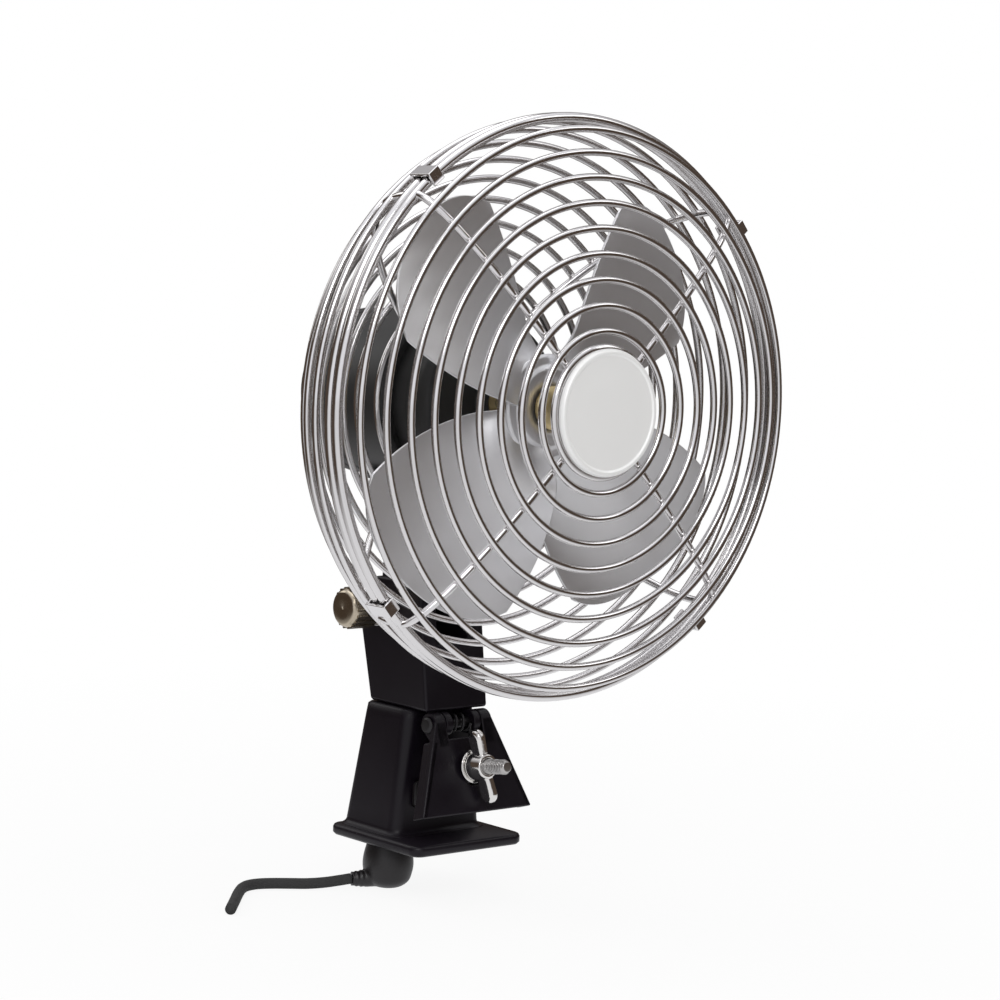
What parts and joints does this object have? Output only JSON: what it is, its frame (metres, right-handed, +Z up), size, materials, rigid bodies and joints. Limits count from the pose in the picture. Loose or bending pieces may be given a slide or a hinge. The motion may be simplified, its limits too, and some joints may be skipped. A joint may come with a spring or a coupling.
{
  "type": "clip fan",
  "caption": "Small vehicle fan with a domed chrome wire guard on a tilting, turning neck, held by a two-jaw clamp with a wing nut.",
  "frame": {"origin": "middle of the fixed jaw's pad face, where the clamped edge rests", "axes": "+Z up along the neck, -Y the way the fan blows and the pad faces, +X to the left of someone facing the fan"},
  "size_m": [0.1832, 0.1256, 0.2545],
  "materials": {
    "clamp_plastic": "fine-grained moulded black plastic",
    "chrome_wire": "bright chrome plated wire",
    "chrome_cast": "bright chrome plated casting",
    "steel": "zinc plated steel",
    "wheel_alloy": "polished pressed aluminium",
    "brass": "plain turned brass",
    "rubber": "matt black rubber",
    "badge_enamel": "plain white enamel",
    "magnet": "dark ferrite",
    "carbon": "pressed carbon",
    "lead_sheath": "smooth black cable sheath",
    "motor_paint": "satin black paint on pressed steel"
  },
  "bodies": {
    "clamp": {"clamp_body": "clamp_plastic", "rear_pad": "rubber", "jaw_pin": "steel", "jaw_spring": "steel", "clamp_bolt": "steel", "cord_gland": "rubber", "cord": "lead_sheath"},
    "jaw": {"front_jaw": "clamp_plastic", "front_pad": "rubber"},
    "washer": {"nut_washer": "chrome_cast"},
    "nut": {"wing_nut": "chrome_cast"},
    "neck": {"neck": "clamp_plastic", "post_clip": "steel", "tilt_bolt": "steel", "tilt_washer_left": "steel", "tilt_washer_right": "steel"},
    "knob": {"tilt_knob": "chrome_cast"},
    "head": {"head_bracket": "clamp_plastic", "motor_housing": "motor_paint", "motor_cap": "motor_paint", "front_bush": "brass", "rear_bush": "brass", "magnet_left": "magnet", "magnet_right": "magnet", "brush_left": "carbon", "brush_right": "carbon", "front_guard": "chrome_wire", "rear_guard": "chrome_wire", "badge": "badge_enamel", "guard_clip_1": "chrome_wire", "guard_clip_2": "chrome_wire", "guard_clip_3": "chrome_wire", "guard_clip_4": "chrome_wire"},
    "rotor": {"motor_shaft": "steel", "armature": "steel", "commutator": "brass", "fan_wheel": "wheel_alloy", "fan_hub": "brass", "hub_set_screw": "steel"}
  },
  "joints": [
    {"name": "jaw_hinge", "type": "hinge", "parent": "clamp", "child": "jaw", "pos_m": [0, -0.005, 0.024], "axis": [1, 0, 0], "range_deg": [0, 16]},
    {"name": "washer_slide", "type": "slide", "parent": "clamp", "child": "washer", "axis": [0, 0.9903, -0.1392], "range_m": [0, 0.004]},
    {"name": "nut_turn", "type": "hinge", "parent": "washer", "child": "nut", "pos_m": [0, -0.01316, 0.011], "axis": [0, -0.9903, 0.1392], "continuous": true},
    {"name": "neck_swivel", "type": "hinge", "parent": "clamp", "child": "neck", "pos_m": [0, 0.0117, 0.028], "axis": [0, 0, 1], "range_deg": [-90, 90]},
    {"name": "head_tilt", "type": "hinge", "parent": "neck", "child": "head", "pos_m": [0, 0.022, 0.06], "axis": [1, 0, 0], "range_deg": [-45, 20]},
    {"name": "knob_turn", "type": "hinge", "parent": "neck", "child": "knob", "pos_m": [0, 0.022, 0.06], "axis": [1, 0, 0], "continuous": true},
    {"name": "fan_spin", "type": "hinge", "parent": "head", "child": "rotor", "pos_m": [0, -0.054, 0.13], "axis": [0, 1, 0], "continuous": true}
  ],
  "couplings": [
    {"joint": "washer_slide", "follows": "jaw_hinge", "m_per_rad": 0.014176}
  ]
}
